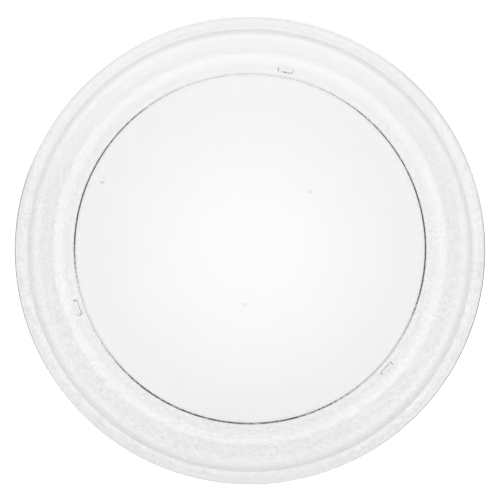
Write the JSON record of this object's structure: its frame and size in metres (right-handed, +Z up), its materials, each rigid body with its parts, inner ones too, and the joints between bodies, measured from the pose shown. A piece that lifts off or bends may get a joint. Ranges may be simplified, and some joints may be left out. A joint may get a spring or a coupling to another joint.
{
  "type": "microwave turntable plate",
  "caption": "Round clear pressed glass plate with a stepped rim and a recessed underside that runs on a roller ring.",
  "frame": {"origin": "on the plate's axis, level with the undersides of the three pads it stands on", "axes": "+Z up along the plate's axis, out of the dish; +Y towards the top of the picture; +X to the right in the picture"},
  "size_m": [0.245, 0.245, 0.0145],
  "materials": {
    "glass": "clear pressed glass, stippled under the rim"
  },
  "bodies": {
    "root": {"glass_plate": "glass"}
  },
  "joints": []
}
